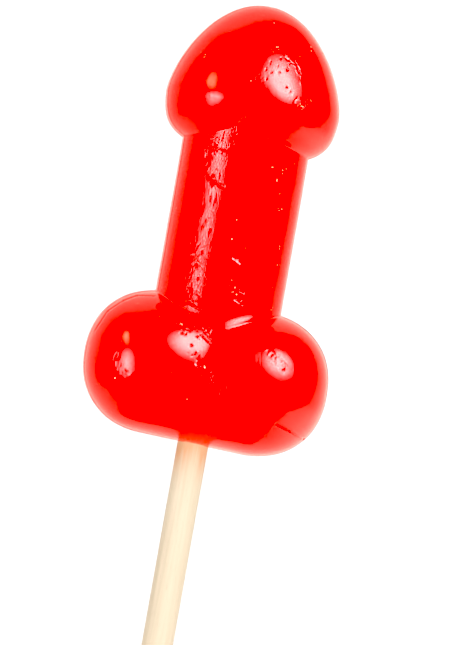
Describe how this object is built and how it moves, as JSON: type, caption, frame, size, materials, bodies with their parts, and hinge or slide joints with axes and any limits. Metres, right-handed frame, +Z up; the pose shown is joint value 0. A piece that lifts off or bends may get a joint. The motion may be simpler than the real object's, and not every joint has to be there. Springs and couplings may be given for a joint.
{
  "type": "adult novelty lollipop",
  "caption": "Translucent red hard candy lollipop in the shape of a penis, on a plain round wooden stick, lying on its back.",
  "frame": {"origin": "centre of the lollipop's outline on the surface that it lies on", "axes": "+Y along the stick towards the candy's tip, +Z up through the shown side, +X across"},
  "size_m": [0.0391, 0.1786, 0.0247],
  "materials": {
    "candy": "clear red boiled sugar, glossy, cast in a two-part mould",
    "stick": "plain pale birch, unvarnished"
  },
  "bodies": {
    "root": {"candy": "candy", "stick": "stick"}
  },
  "joints": []
}
